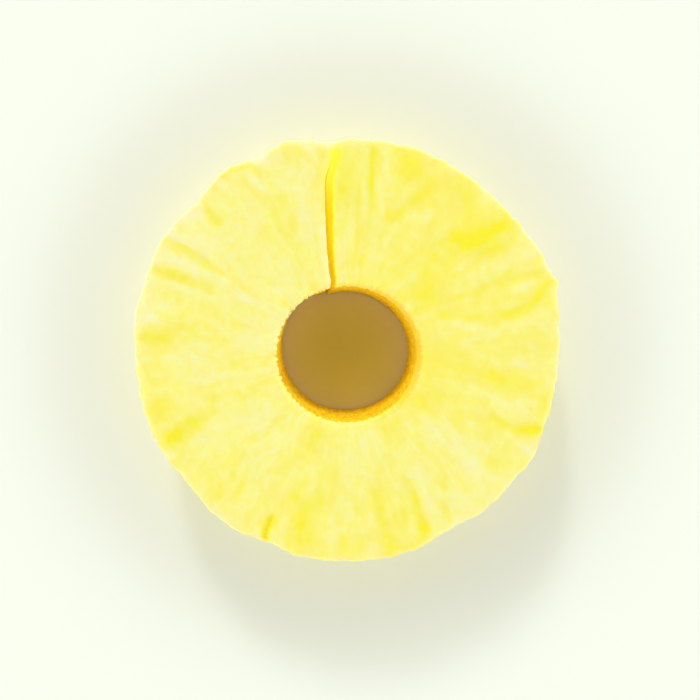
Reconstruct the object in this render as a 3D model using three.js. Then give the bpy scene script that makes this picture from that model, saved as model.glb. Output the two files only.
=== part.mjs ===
// A ring of fresh pineapple, in millimetres with +Z up: a thick slice of peeled fruit with its core
// punched out, lying flat, and cut through once on one side by a knife. The cut's walls all but touch
// at the top face and stand a little open below.
//
// The flesh is one solid, made as a block bent round the hole. The block runs "around" from the left
// wall of the slit to its right wall, "across" from the hole to the rim, and "up" from the underside
// to the top face. The origin is the middle of the underside.

import * as THREE from "three";

// The slice.
const OUTER_RADIUS = 46;
const THICKNESS = 15;
const RIM_TAPER = 0.7; // how much smaller the rim is at the underside
const LIP_ROUND = 0.7; // radius of the wet edges at the rim and the hole

// The hole that the corer leaves. It narrows a little towards the underside, except to the left of
// the slit, where it is undercut.
const HOLE_TOP = { centre: [0, -1], radii: [15.3, 14.9] };
const HOLE_FOOT = { centre: [0.15, -1], radii: [14.75, 14] };
const UNDERCUT = 1.5; // how much further back the hole's foot lies beside the slit
const UNDERCUT_DEGREES = [130, 40]; // its middle and its spread

// The knife slit runs out from the hole along +Y. The blade leant, so both walls slope to -X going down.
const SLIT_Y = [15, 45]; // where the slit starts and ends
const LIP_X = [-3.5, -4.95]; // its line at the top, at its start and end
const LIP_REACH = 9; // the line swings out over this length
const LIP_WIDTH = 0.05; // the gap between the walls at the top
const LIP_EDGE = 0.1; // the small edge of both lips, which fades where they are soft
const FOOT_X = [-5, -6.8]; // its line at the underside
const FOOT_WIDTH = 0.5;
const SLIT_CORNER_ROUND = { hole: 0.9, rim: 0.1 }; // where its walls turn into the hole and the rim
const SLIT_REACH = THREE.MathUtils.degToRad(40); // the angle over which the grid turns to follow it

// The flesh has slumped along the slit's right side, and near the rim it sinks softly on both sides.
const SLUMP_WIDTH = 2.6; // how far from the slit the face begins to sink
const SLUMP_DEPTH = [0.7, 0.1]; // how deep the right side sinks, at the slit's start and end
const SOFT_Y = [36.5, 42]; // where the lips turn soft near the rim
const SOFT_SWING = 1.55; // how far the line swings back there
const SOFT_DEPTH = 0.12; // and how deep both sides sink

// The rim's swells and hollows, where fruitlets stand out or meet: [degrees, spread, height].
const RIM_SWELLS = [
  [20, 13, 1.4],
  [17.5, 1.4, 1.0], // a torn scrap
  [70, 6, 0.3],
  [95, 4, -0.8],
  [107, 6, 1.1],
  [115, 3.2, -0.6],
  [124, 7, 1.1],
  [135, 3.2, -0.5],
  [151, 10, 0.8],
  [171, 5, 0.7],
  [220, 8, -0.8],
  [248, 5, -0.9],
  [300, 7, -1.0],
  [330, 4, 0.9],
];

// Creases in the top face where fruitlets meet, each from its inner end to its outer end:
// [radius, degrees, radius, degrees, bow, depth, width]. The bow is how far the middle lies to the left
// of the straight line, looking outwards.
const CREASES = [
  [38.9, 246.3, 44.4, 246.5, -0.5, 0.4, 0.55], // the deep gash
  [34.1, 23.4, 44.4, 21.6, 0.2, 0.1, 0.6],
  [32.1, 13.0, 45.3, 18.0, -2.0, 0.12, 0.7],
  [33.0, 336.2, 45.4, 337.7, -1.8, 0.15, 0.7],
  [28.2, 281.4, 44.6, 282.0, 0.1, 0.1, 0.8],
  [27.2, 292.9, 42.2, 293.0, 0.9, 0.12, 0.7],
  [32.9, 309.8, 43.0, 301.0, -0.55, 0.08, 0.6],
  [32.4, 149.2, 45.4, 149.1, -0.8, 0.1, 0.6],
  [29.6, 155.6, 45.0, 157.5, -0.1, 0.1, 0.7],
  [41.3, 116.2, 46.2, 118.6, -0.45, 0.1, 0.6],
  [44.9, 133.5, 45.2, 118.5, 1.4, 0.08, 0.6],
  [37.7, 135.6, 44.9, 134.1, 0.75, 0.1, 0.7],
  [27.9, 75.3, 39.9, 62.2, -0.25, 0.08, 0.7],
  [33.1, 81.5, 44.9, 81.8, 0.15, 0.08, 0.7],
  [33.4, 46.5, 44.6, 38.7, -1.65, 0.1, 1.1],
  [31.2, 203.1, 42.6, 206.8, 0.8, 0.1, 1.0],
  [39.5, 268.6, 44.3, 268.2, 0.2, 0.08, 0.6],
];

// Sets of waves round the ring: [waves to a turn, phase in turns, height].
const RAGGED_RIM = [
  [41, 0.13, 0.1],
  [67, 0.55, 0.08],
  [97, 0.31, 0.06],
];
const CORER_TEETH = [
  [47, 0.2, 0.13],
  [71, 0.7, 0.12],
];
const TEETH_DROP = 0.2; // the share of the thickness over which they fade
const TEETH_RIGHT = 0.3; // the share of their height that is left on the right of the hole
const FIBRES = [
  [37, 0.4, 0.5],
  [59, 0.9, 0.3],
  [89, 0.1, 0.2],
];
const FIBRE_DEPTH = 0.05;

// Fruitlets show as petals on the cut face and as soft lobes down the outer wall.
const FRUITLETS = 13;
const FRUITLET_START = 22; // degrees of the first meeting of two fruitlets
const PETAL_HEIGHT = 0.18;
const WALL_LOBE = 0.3;
const WALL_LOBE_LEAN = 0.35; // how far a lobe leans round the rim from underside to top, in lobes

const FACE_SAG = 0.25; // slow unevenness of the sawn face
const FACE_SAG_LENGTH = [14, 17]; // along X and Y

const FLESH_COLOUR = 0xfbef72;
const WET = 0.35; // roughness

// The grid: small steps beside each edge, and equal cells between.
const AROUND_CELLS = 196;
const ACROSS_CELLS = 11;
const UP_CELLS = 2;
const SLIT_EDGE_STEPS = [0.6, 1.5, 2.8]; // degrees
const FACE_EDGE_STEPS = [0.35, 1.1];
const WALL_EDGE_STEPS = [0.6];

const TURN = 2 * Math.PI;
const radians = THREE.MathUtils.degToRad;
const mix = THREE.MathUtils.lerp;
const smooth = (t) => THREE.MathUtils.smoothstep(t, 0, 1);
const bell = (away, spread) => Math.exp(-((away / spread) ** 2));
const direction = (angle) => new THREE.Vector2(Math.cos(angle), Math.sin(angle));

// How far a surface has dropped where it is this far from the corner of a round edge.
function roundOff(distance, radius) {
  const left = THREE.MathUtils.clamp(radius - distance, 0, radius);
  return radius - Math.sqrt(radius * radius - left * left);
}

// The sum of a set of waves at an angle.
function waves(list, angle) {
  const wave = ([count, phase, height]) => height * Math.sin(count * angle + phase * TURN);
  return list.reduce((sum, row) => sum + wave(row), 0);
}

// How far an ellipse lies from the origin inside it, at an angle.
function ellipseReach(angle, [cx, cy], [rx, ry]) {
  const [c, s, u, v] = [Math.cos(angle) / rx, Math.sin(angle) / ry, cx / rx, cy / ry];
  const [square, middle] = [c * c + s * s, c * u + s * v];
  return (middle + Math.sqrt(middle * middle - square * (u * u + v * v - 1))) / square;
}

// The foot's ellipse, undercut on the slit's left, and the top's, with the corer's teeth, which fade
// downwards and are deepest on the left.
function holeRadius(angle, height) {
  const [middle, spread] = UNDERCUT_DEGREES;
  const undercut = UNDERCUT * bell(angle - radians(middle), radians(spread));
  const foot = ellipseReach(angle, HOLE_FOOT.centre, HOLE_FOOT.radii) + undercut;
  const top = ellipseReach(angle, HOLE_TOP.centre, HOLE_TOP.radii);
  const nearTop = smooth((height - 1 + TEETH_DROP) / TEETH_DROP);
  const onLeft = mix(1, TEETH_RIGHT, (1 + Math.cos(angle)) / 2);
  return mix(foot, top, height) + waves(CORER_TEETH, angle) * onLeft * nearTop;
}

function rimRadius(angle, height) {
  const swells = RIM_SWELLS.reduce((sum, [degrees, spread, rise]) => {
    const turns = (angle - radians(degrees)) / TURN;
    return sum + rise * bell((turns - Math.round(turns)) * TURN, radians(spread));
  }, 0);
  const lobeTurns = FRUITLETS * (angle - radians(FRUITLET_START)) + WALL_LOBE_LEAN * TURN * height;
  const lobes = -WALL_LOBE * (1 - height) * Math.cos(lobeTurns);
  return OUTER_RADIUS - RIM_TAPER * (1 - height) + swells + lobes + waves(RAGGED_RIM, angle);
}

// The slit's walls, as places along X, at a distance along the slit and a share of the height.
const alongSlit = ([start, end], y) => mix(start, end, (y - SLIT_Y[0]) / (SLIT_Y[1] - SLIT_Y[0]));
const soft = (y) => smooth((y - SOFT_Y[0]) / (SOFT_Y[1] - SOFT_Y[0]));
const lipX = (y) => mix(LIP_X[1], LIP_X[0], Math.exp((SLIT_Y[0] - y) / LIP_REACH)) + SOFT_SWING * soft(y);
const leftWallX = (y, height) => mix(alongSlit(FOOT_X, y), lipX(y), height);
const rightWallX = (y, height) => mix(alongSlit(FOOT_X, y) + FOOT_WIDTH, lipX(y) + LIP_WIDTH, height);

// How far the top face has dropped on either side of the slit: a lip's edge, and a soft step down.
function leftDrop(x, y) {
  const away = leftWallX(y, 1) - x;
  const sunk = SOFT_DEPTH * soft(y);
  return roundOff(away, LIP_EDGE * (1 - soft(y))) + sunk * smooth(1 - away / SLUMP_WIDTH);
}

function rightDrop(x, y) {
  const away = x - rightWallX(y, 1);
  const sunk = mix(alongSlit(SLUMP_DEPTH, y), SOFT_DEPTH, soft(y));
  return roundOff(away, LIP_EDGE * (1 - soft(y))) + sunk * smooth(1 - away / SLUMP_WIDTH);
}

// How deep a crease is at a point of the top face: deepest along its bowed line, and fading at its ends.
function creaseDepth([innerRadius, innerDegrees, outerRadius, outerDegrees, bow, depth, width], point) {
  const inner = direction(radians(innerDegrees)).multiplyScalar(innerRadius);
  const run = direction(radians(outerDegrees)).multiplyScalar(outerRadius).sub(inner);
  const from = point.clone().sub(inner);
  const t = from.dot(run) / run.lengthSq();
  const aside = run.cross(from) / run.length() - bow * 4 * t * (1 - t);
  const ends = smooth(4 * t) * smooth(7 - 6 * t);
  return depth * ends * bell(aside, width);
}

// How far the top face stands over a flat cut, all below zero: fibres that run out from the hole,
// petals, creases and the slow sag.
function faceRelief(x, y) {
  const point = new THREE.Vector2(x, y);
  const angle = point.angle();
  const out = (point.length() - HOLE_TOP.radii[0]) / (OUTER_RADIUS - HOLE_TOP.radii[0]);
  const fibres = (waves(FIBRES, angle) - 1) / 2;
  const petals = -smooth(out) * (0.5 + 0.5 * Math.cos(FRUITLETS * (angle - radians(FRUITLET_START))));
  const creases = CREASES.reduce((sum, crease) => sum + creaseDepth(crease, point), 0);
  const sag = Math.sin(x / FACE_SAG_LENGTH[0]) * Math.cos(y / FACE_SAG_LENGTH[1]) - 1;
  return FIBRE_DEPTH * fibres + PETAL_HEIGHT * petals + FACE_SAG * sag - creases;
}

// A point of the ring's surface, by its shares of the way around, across and up.
const SLIT_ANGLE = Math.acos(lipX(SLIT_Y[1]) / SLIT_Y[1]);
const LIP_INSET = LIP_ROUND * (1 - Math.SQRT1_2); // the middle of a round edge, in from its corner

function placeInRing(aroundShare, acrossShare, height) {
  const fromLeft = aroundShare * TURN;
  const fromRight = TURN - fromLeft;
  const nominal = SLIT_ANGLE + fromLeft;
  const depth = mix(THICKNESS, LIP_INSET, height);

  // The hole's and the rim's walls, drawn in where they turn into the top face and into the slit.
  const nearSlit = Math.min(fromLeft, fromRight);
  const hole = holeRadius(nominal, height) + roundOff(nearSlit * HOLE_TOP.radii[0], SLIT_CORNER_ROUND.hole);
  const rim = rimRadius(nominal, height) - roundOff(nearSlit * OUTER_RADIUS, SLIT_CORNER_ROUND.rim);
  const drawnIn = roundOff(depth, LIP_ROUND);
  const radius = mix(hole + drawnIn, rim - drawnIn, acrossShare);

  // The grid line round the ring, turned to lie in the slit's wall where it meets one.
  const leftPull = 1 - smooth(fromLeft / SLIT_REACH);
  const rightPull = 1 - smooth(fromRight / SLIT_REACH);
  const leftTurn = leftPull * (Math.acos(leftWallX(radius, height) / radius) - SLIT_ANGLE);
  const rightTurn = rightPull * (Math.acos(rightWallX(radius, height) / radius) - SLIT_ANGLE);
  const { x, y } = direction(nominal + leftTurn + rightTurn).multiplyScalar(radius);

  // The top face, dropped where it turns into a wall.
  const inFromWall = Math.min(acrossShare, 1 - acrossShare) * (rim - hole - 2 * LIP_INSET) + LIP_INSET;
  const besideSlit = (leftPull > 0 ? leftDrop(x, radius) : 0) + (rightPull > 0 ? rightDrop(x, radius) : 0);
  const top = THICKNESS + faceRelief(x, y) - roundOff(inFromWall, LIP_ROUND) - besideSlit;
  return [x, y, top * height];
}

// Shares from 0 to 1 of a length, for grid lines with small steps beside both ends.
function gridShares(length, edgeSteps, cells) {
  const edge = [0, ...edgeSteps.slice(0, -1)];
  const first = edgeSteps.at(-1);
  const middle = Array.from({ length: cells + 1 }, (_, i) => mix(first, length - first, i / cells));
  return [...edge, ...middle, ...edge.map((step) => length - step).reverse()].map((place) => place / length);
}

// The closed surface of a block of ni x nj x nk cells. place(i, j, k) puts a corner of its grid in space.
// The underside is flat, so it takes one long step across, with a fan at each end.
function blockSurface(ni, nj, nk, place) {
  const known = new Map();
  const positions = [];
  const triangles = [];
  const corner = (i, j, k) => {
    const key = (i * (nj + 1) + j) * (nk + 1) + k;
    if (!known.has(key)) {
      known.set(key, known.size);
      positions.push(...place(i, j, k));
    }
    return known.get(key);
  };
  const quad = (a, b, c, d) => triangles.push(a, b, c, a, c, d);
  const side = (rows, columns, at) => {
    for (let row = 0; row < rows; row++)
      for (let column = 0; column < columns; column++)
        quad(at(row, column), at(row + 1, column), at(row + 1, column + 1), at(row, column + 1));
  };
  side(nj, ni, (j, i) => corner(i, j, nk)); // top face
  side(nk, ni, (k, i) => corner(i, 0, k)); // hole
  side(ni, nk, (i, k) => corner(i, nj, k)); // rim
  side(nj, nk, (j, k) => corner(0, j, k)); // left wall of the slit
  side(nk, nj, (k, j) => corner(ni, j, k)); // right wall of the slit
  for (let i = 1; i < ni - 1; i++)
    quad(corner(i, 0, 0), corner(i + 1, 0, 0), corner(i + 1, nj, 0), corner(i, nj, 0));
  for (let j = 0; j < nj; j++) {
    triangles.push(corner(0, j, 0), corner(1, 0, 0), corner(0, j + 1, 0));
    triangles.push(corner(ni - 1, 0, 0), corner(ni, j, 0), corner(ni, j + 1, 0));
  }
  triangles.push(corner(0, nj, 0), corner(1, 0, 0), corner(1, nj, 0));
  triangles.push(corner(ni - 1, 0, 0), corner(ni, nj, 0), corner(ni - 1, nj, 0));
  return new THREE.BufferGeometry()
    .setAttribute("position", new THREE.Float32BufferAttribute(positions, 3))
    .setIndex(triangles);
}

function pineappleRing() {
  const around = gridShares(360, SLIT_EDGE_STEPS, AROUND_CELLS);
  const across = gridShares(OUTER_RADIUS - HOLE_TOP.radii[0], FACE_EDGE_STEPS, ACROSS_CELLS);
  const up = gridShares(THICKNESS, WALL_EDGE_STEPS, UP_CELLS);
  const size = [around, across, up].map((shares) => shares.length - 1);
  const geometry = blockSurface(...size, (i, j, k) => placeInRing(around[i], across[j], up[k]));
  geometry.computeBoundingBox();
  const { min, max } = geometry.boundingBox;
  geometry.translate(-(min.x + max.x) / 2, -(min.y + max.y) / 2, -min.z);
  geometry.computeVertexNormals();
  const flesh = new THREE.MeshStandardMaterial({ color: FLESH_COLOUR, roughness: WET, metalness: 0 });
  const ring = new THREE.Mesh(geometry, flesh);
  ring.name = "pineapple_ring";
  return ring;
}

const group = new THREE.Group();
group.add(pineappleRing());
export default group;
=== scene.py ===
# %% [markdown]
# # A ring of fresh pineapple
# A peeled pineapple is sliced across, its core is punched out with a round corer, and one knife cut
# runs from the hole to the rim. The slice lies flat. What gives it away as real fruit is small: pale
# fibres that run out from the hole, deeper yellow where the flesh is full of juice, creases where two
# fruitlets meet, and the torn little teeth that the corer leaves round the hole.
#
# The frame is the exact, plain solid of the slice. It fixes the size and the place of everything here.

# %% Load the frame
import math

import bpy
import numpy as np
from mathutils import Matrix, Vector


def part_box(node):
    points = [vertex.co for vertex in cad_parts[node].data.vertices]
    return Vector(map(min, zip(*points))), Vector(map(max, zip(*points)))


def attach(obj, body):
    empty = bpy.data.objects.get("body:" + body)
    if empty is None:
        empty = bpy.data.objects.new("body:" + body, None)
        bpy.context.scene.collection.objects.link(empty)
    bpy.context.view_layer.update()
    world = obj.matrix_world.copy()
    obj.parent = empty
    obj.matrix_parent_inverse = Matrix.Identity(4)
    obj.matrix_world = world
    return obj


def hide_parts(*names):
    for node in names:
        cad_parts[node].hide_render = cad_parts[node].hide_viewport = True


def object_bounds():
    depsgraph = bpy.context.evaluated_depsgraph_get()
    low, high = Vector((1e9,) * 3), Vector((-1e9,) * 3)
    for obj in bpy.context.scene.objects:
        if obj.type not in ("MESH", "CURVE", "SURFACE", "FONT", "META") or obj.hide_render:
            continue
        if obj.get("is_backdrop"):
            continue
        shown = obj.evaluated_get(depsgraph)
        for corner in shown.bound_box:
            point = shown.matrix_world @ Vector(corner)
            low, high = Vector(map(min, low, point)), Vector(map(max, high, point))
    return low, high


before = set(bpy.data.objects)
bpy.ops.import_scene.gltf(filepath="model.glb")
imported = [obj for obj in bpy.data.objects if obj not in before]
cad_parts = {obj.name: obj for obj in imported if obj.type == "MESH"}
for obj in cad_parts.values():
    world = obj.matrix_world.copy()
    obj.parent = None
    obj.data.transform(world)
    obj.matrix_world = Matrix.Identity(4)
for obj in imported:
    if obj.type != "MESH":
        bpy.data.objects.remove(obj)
frame_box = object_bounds()
MM = 0.001  # sizes below are in millimetres, and Blender's unit is the metre
TURN = 2 * math.pi

ring_low, ring_high = (np.array(corner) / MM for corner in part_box("pineapple_ring"))
print("the slice's box in mm:", ring_low.round(2), ring_high.round(2))

# %% [markdown]
# ## The camera
# The slice is seen from straight above, by a camera a hand's length over it and a little to its upper
# left, so a thin band of the hole's wall shows at the lower right. The camera could be tilted towards
# the slice, but a tilt makes a round thing uneven. It looks straight down instead, and a small lens
# shift brings the slice to the middle of the picture.

# %% The camera
PICTURE = 700  # width and height in pixels
PIXEL = 0.2158  # millimetres to a pixel on the top face
CAMERA_PLACE = np.array([-5.8, 8.5, 165.0])
MIDDLE_PIXEL = np.array([347.3, 350.0])  # where the slice's middle falls, from the upper left

over_top = CAMERA_PLACE[2] - ring_high[2]
straight_down = MIDDLE_PIXEL + CAMERA_PLACE[:2] * [1, -1] / PIXEL  # the pixel right under the lens
shift = (PICTURE / 2 - straight_down) / PICTURE

lens = bpy.data.cameras.new("lens")
lens.angle = 2 * math.atan(PICTURE / 2 * PIXEL / over_top)
lens.shift_x = shift[0]
lens.shift_y = -shift[1]
lens.clip_start = 0.01
camera = bpy.data.objects.new("camera", lens)
camera.location = CAMERA_PLACE * MM
bpy.context.scene.collection.objects.link(camera)
bpy.context.scene.camera = camera
print("lens angle", round(math.degrees(lens.angle), 1), "shift", shift.round(3))

# %% [markdown]
# ## Round edges and waves
# Two small formulas do much of the shaping. A quarter circle rounds every cut edge, because wet flesh
# holds no sharp corner. Sums of sines round the ring give the teeth, the fibres and the ragged rim:
# they close on themselves after a turn, so no seam shows, and odd counts keep them from repeating.

# %% Helpers for shapes
def smooth(t):
    """A soft step: 0 up to t = 0, 1 from t = 1, and 3t² - 2t³ between."""
    t = np.clip(t, 0, 1)
    return t * t * (3 - 2 * t)


def step_between(value, ends):
    """A soft step from 0 at the first end to 1 at the second."""
    return smooth((value - ends[0]) / (ends[1] - ends[0]))


def mix(start, end, share):
    """The value at a share of the way from start to end."""
    return start + (end - start) * share


def round_off(distance, radius):
    """How far a surface has dropped at a distance from the corner of a round edge: the radius less
    the height of a quarter circle there."""
    left = np.clip(radius - distance, 0, radius)
    return radius - np.sqrt(radius**2 - left**2)


def waves(rows, angle):
    """A sum of sines round the ring. A row is [waves to a turn, phase in turns, height]."""
    return sum(height * np.sin(count * angle + phase * TURN) for count, phase, height in rows)


def bell(away, spread):
    """1 in the middle, falling as a bell curve to 0.37 at the spread."""
    return np.exp(-((away / spread) ** 2))


print("a soft step is", smooth(0.25), "a quarter of the way, and a bell is", bell(1, 2).round(2), "half way")

# %% [markdown]
# ## The outline
# The rim is where the peel was cut away. It is a circle with slow swells where a fruitlet stands out,
# hollows where two meet, and a ragged edge of torn fibres. The hole is an ellipse at the top and a
# narrower one at the underside, since the corer went in a little askew, and it is undercut to the
# left of the knife cut, where the flesh gave way. The corer's teeth tore its upper edge. One function
# of the angle and the height gives each wall, so the wall below follows the edge above.

# %% The rim and the hole
OUTER_RADIUS = 46.0
THICKNESS = 15.0
RIM_TAPER = 0.7  # how much smaller the rim is at the underside
LIP_ROUND = 0.7  # the round edges of the rim and the hole at the top
FOOT_ROUND = 0.5  # and at the underside
HOLE_TOP = {"centre": (0.0, -1.0), "radii": (15.3, 14.9)}
HOLE_FOOT = {"centre": (0.15, -1.0), "radii": (14.75, 14.0)}
UNDERCUT = 1.5  # how much further back the hole's foot lies beside the cut
UNDERCUT_DEGREES = (130, 40)  # its middle and its spread

RIM_SWELLS = [  # [degrees, spread in degrees, height]
    [20, 13, 1.4],
    [17.5, 1.4, 1.0],  # a torn scrap
    [70, 6, 0.3],
    [95, 4, -0.8],
    [107, 6, 1.1],
    [115, 3.2, -0.6],
    [124, 7, 1.1],
    [135, 3.2, -0.5],
    [151, 10, 0.8],
    [171, 5, 0.7],
    [220, 8, -0.8],
    [248, 5, -0.9],
    [300, 7, -1.0],
    [330, 4, 0.9],
]
RAGGED_RIM = [[41, 0.13, 0.1], [67, 0.55, 0.08], [97, 0.31, 0.06], [149, 0.7, 0.04], [211, 0.2, 0.03]]
CORER_TEETH = [[47, 0.2, 0.13], [71, 0.7, 0.12], [89, 0.4, 0.1], [131, 0.1, 0.05]]
TEETH_DROP = 0.2  # the share of the thickness over which they fade
TEETH_RIGHT = 0.3  # the share of their height that is left on the right of the hole
FRUITLETS = 13
FRUITLET_START = 22  # degrees of the first meeting of two fruitlets
WALL_LOBE = 0.3
WALL_LOBE_LEAN = 0.35  # how far a lobe leans round the rim from underside to top, in lobes


def ellipse_reach(angle, centre, radii):
    """How far an ellipse lies from the origin inside it, at an angle: the positive root of the
    quadratic that puts that point on the ellipse."""
    c = np.cos(angle) / radii[0]
    s = np.sin(angle) / radii[1]
    u = centre[0] / radii[0]
    v = centre[1] / radii[1]
    square = c**2 + s**2
    middle = c * u + s * v
    return (middle + np.sqrt(middle**2 - square * (u**2 + v**2 - 1))) / square


def hole_radius(angle, height):
    """The foot's ellipse, undercut by a bell curve, mixed into the top's by height, plus the
    corer's teeth, which fade downwards and are deepest on the left. The angle starts at the cut's
    left wall and runs on past a full turn, so the undercut ends at the cut."""
    middle, spread = UNDERCUT_DEGREES
    foot = ellipse_reach(angle, **HOLE_FOOT) + UNDERCUT * bell(np.degrees(angle) - middle, spread)
    top = ellipse_reach(angle, **HOLE_TOP)
    near_top = smooth((height - 1 + TEETH_DROP) / TEETH_DROP)
    on_left = mix(1, TEETH_RIGHT, (1 + np.cos(angle)) / 2)
    return mix(foot, top, height) + waves(CORER_TEETH, angle) * on_left * near_top


def rim_radius(angle, height):
    """A circle that tapers downwards, plus a bell curve for each swell, the lobes of the fruitlets
    down the wall and the torn fibres."""
    radius = OUTER_RADIUS - RIM_TAPER * (1 - height) + waves(RAGGED_RIM, angle)
    for degrees, spread, rise in RIM_SWELLS:
        away = (np.degrees(angle) - degrees + 180) % 360 - 180
        radius = radius + rise * bell(away, spread)
    lobe_turns = FRUITLETS * (angle - math.radians(FRUITLET_START)) + WALL_LOBE_LEAN * TURN * height
    return radius - WALL_LOBE * (1 - height) * np.cos(lobe_turns)


turn = np.linspace(0, TURN, 721)
print("rim from", rim_radius(turn, 1).min().round(2), "to", rim_radius(turn, 1).max().round(2), "mm")
print("hole from", hole_radius(turn, 1).min().round(2), "to", hole_radius(turn, 1).max().round(2), "mm")

# %% [markdown]
# ## The knife cut
# The blade leant over, so both walls of the cut slope the same way, and the floor can't be seen
# through it. The walls all but touch. The flesh on the right has slumped along the cut, most of all
# at the hole, so the left lip stands over it, and near the rim both sides sink softly. The walls are
# straight lines in height, so one function of the distance along the cut is enough for both.

# %% The walls of the cut
CUT_Y = (15.0, 45.0)  # where the cut starts at the hole and ends at the rim
LIP_X = (-3.5, -4.95)  # its line at the top, at its start and end
LIP_REACH = 9.0  # the line swings out over this length
LIP_WIDTH = (0.03, 0.005)  # the gap between the walls at the top, at its start and end
LIP_EDGE = 0.1  # the small edge of both lips, which fades where they are soft
FOOT_X = (-5.0, -6.8)  # its line at the underside
FOOT_WIDTH = 0.5
SLUMP_WIDTH = 2.6  # how far from the cut the face begins to sink
SLUMP_DEPTH = (0.7, 0.1)  # how deep the right side sinks, at the cut's start and end
SOFT_Y = (36.5, 42.0)  # where the lips turn soft near the rim
SOFT_SWING = 1.55  # how far the line swings back there
SOFT_DEPTH = 0.12  # and how deep both sides sink
CUT_CORNER_ROUND = {"hole": 0.9, "rim": 0.1}  # the cut's corners, seen from above
CUT_REACH = math.radians(40)  # over which the grid turns to follow the cut
LIP_TEETH = [[1.9, 0.1, 0.05], [4.3, 0.6, 0.04]]  # torn fibres: [length, phase in turns, height]


def along_cut(ends, y):
    """The value at y on a straight line between the cut's start and end."""
    return mix(ends[0], ends[1], (y - CUT_Y[0]) / (CUT_Y[1] - CUT_Y[0]))


def soft(y):
    """A soft step from 0 to 1 where the lips turn soft near the rim."""
    return step_between(y, SOFT_Y)


def lip_x(y):
    """The cut's line at the top swings out as 1 - e^(-y), and back where the lips are soft. Torn
    fibres make it wave."""
    torn = sum(rise * np.sin((y / length + phase) * TURN) for length, phase, rise in LIP_TEETH)
    return mix(LIP_X[1], LIP_X[0], np.exp((CUT_Y[0] - y) / LIP_REACH)) + SOFT_SWING * soft(y) + torn


def left_wall_x(y, height):
    """A straight line from foot to lip."""
    return mix(along_cut(FOOT_X, y), lip_x(y), height)


def right_wall_x(y, height):
    """A straight line from foot to lip, a gap away from the left wall."""
    return mix(along_cut(FOOT_X, y) + FOOT_WIDTH, lip_x(y) + along_cut(LIP_WIDTH, y), height)


def left_drop(x, y):
    """How far the face has dropped on the left of the cut: its small edge, and a soft step down to
    the cut where the lips are soft."""
    away = left_wall_x(y, 1) - x
    sunk = SOFT_DEPTH * soft(y)
    return round_off(away, LIP_EDGE * (1 - soft(y))) + sunk * smooth(1 - away / SLUMP_WIDTH)


def right_drop(x, y):
    """The same on the right, where the flesh sinks all along the cut."""
    away = x - right_wall_x(y, 1)
    sunk = mix(along_cut(SLUMP_DEPTH, y), SOFT_DEPTH, soft(y))
    return round_off(away, LIP_EDGE * (1 - soft(y))) + sunk * smooth(1 - away / SLUMP_WIDTH)


for at in (15, 30, 40, 45):
    print("at", at, "mm the cut's lips are at", left_wall_x(at, 1).round(2), right_wall_x(at, 1).round(2))

# %% [markdown]
# ## Creases and fibres
# Fruitlets that have grown together leave creases near the rim, each a shallow, bowed groove. They
# could be drawn in the colour alone, but then they vanish in a slanting light, so they are real dips.
# A crease is a line with a bow: the distance from it, put through a bell curve, gives the depth.
# Fibres are low ridges that run out from the hole.

# %% Creases
# [radius, degrees, radius, degrees, bow, depth, width]: inner end, outer end, and how far the middle
# lies to the left of the straight line looking outwards.
GASH_DEPTH = 0.4
GASH = [38.9, 246.3, 44.4, 246.5, -0.5, GASH_DEPTH, 0.55]
CREASES = [
    GASH,
    [34.1, 23.4, 44.4, 21.6, 0.2, 0.1, 0.6],
    [32.1, 13.0, 45.3, 18.0, -2.0, 0.12, 0.7],
    [33.0, 336.2, 45.4, 337.7, -1.8, 0.15, 0.7],
    [28.2, 281.4, 44.6, 282.0, 0.1, 0.1, 0.8],
    [27.2, 292.9, 42.2, 293.0, 0.9, 0.12, 0.7],
    [32.9, 309.8, 43.0, 301.0, -0.55, 0.08, 0.6],
    [32.4, 149.2, 45.4, 149.1, -0.8, 0.1, 0.6],
    [29.6, 155.6, 45.0, 157.5, -0.1, 0.1, 0.7],
    [41.3, 116.2, 46.2, 118.6, -0.45, 0.1, 0.6],
    [44.9, 133.5, 45.2, 118.5, 1.4, 0.08, 0.6],
    [37.7, 135.6, 44.9, 134.1, 0.75, 0.1, 0.7],
    [27.9, 75.3, 39.9, 62.2, -0.25, 0.08, 0.7],
    [33.1, 81.5, 44.9, 81.8, 0.15, 0.08, 0.7],
    [33.4, 46.5, 44.6, 38.7, -1.65, 0.1, 1.1],
    [31.2, 203.1, 42.6, 206.8, 0.8, 0.1, 1.0],
    [39.5, 268.6, 44.3, 268.2, 0.2, 0.08, 0.6],
]


def crease_depth(crease, x, y, spread=1.0):
    """The depth of one crease at points of the face: its own depth, times a bell curve of the
    distance from its parabola, times a soft step at each end. It deepens over its first quarter,
    and past its outer end it fades over a sixth of its length. A spread over 1 widens it."""
    inner_radius, inner_degrees, outer_radius, outer_degrees, bow, depth, width = crease
    inner = inner_radius * np.exp(1j * math.radians(inner_degrees))
    outer = outer_radius * np.exp(1j * math.radians(outer_degrees))
    share = (x + 1j * y - inner) / (outer - inner)  # real part along the line, imaginary part aside
    along = share.real
    aside = share.imag * abs(outer - inner) - bow * 4 * along * (1 - along)
    return depth * smooth(4 * along) * smooth(7 - 6 * along) * bell(aside, width * spread)


print(len(CREASES), "creases, of which the gash is", GASH_DEPTH, "mm deep")

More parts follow.
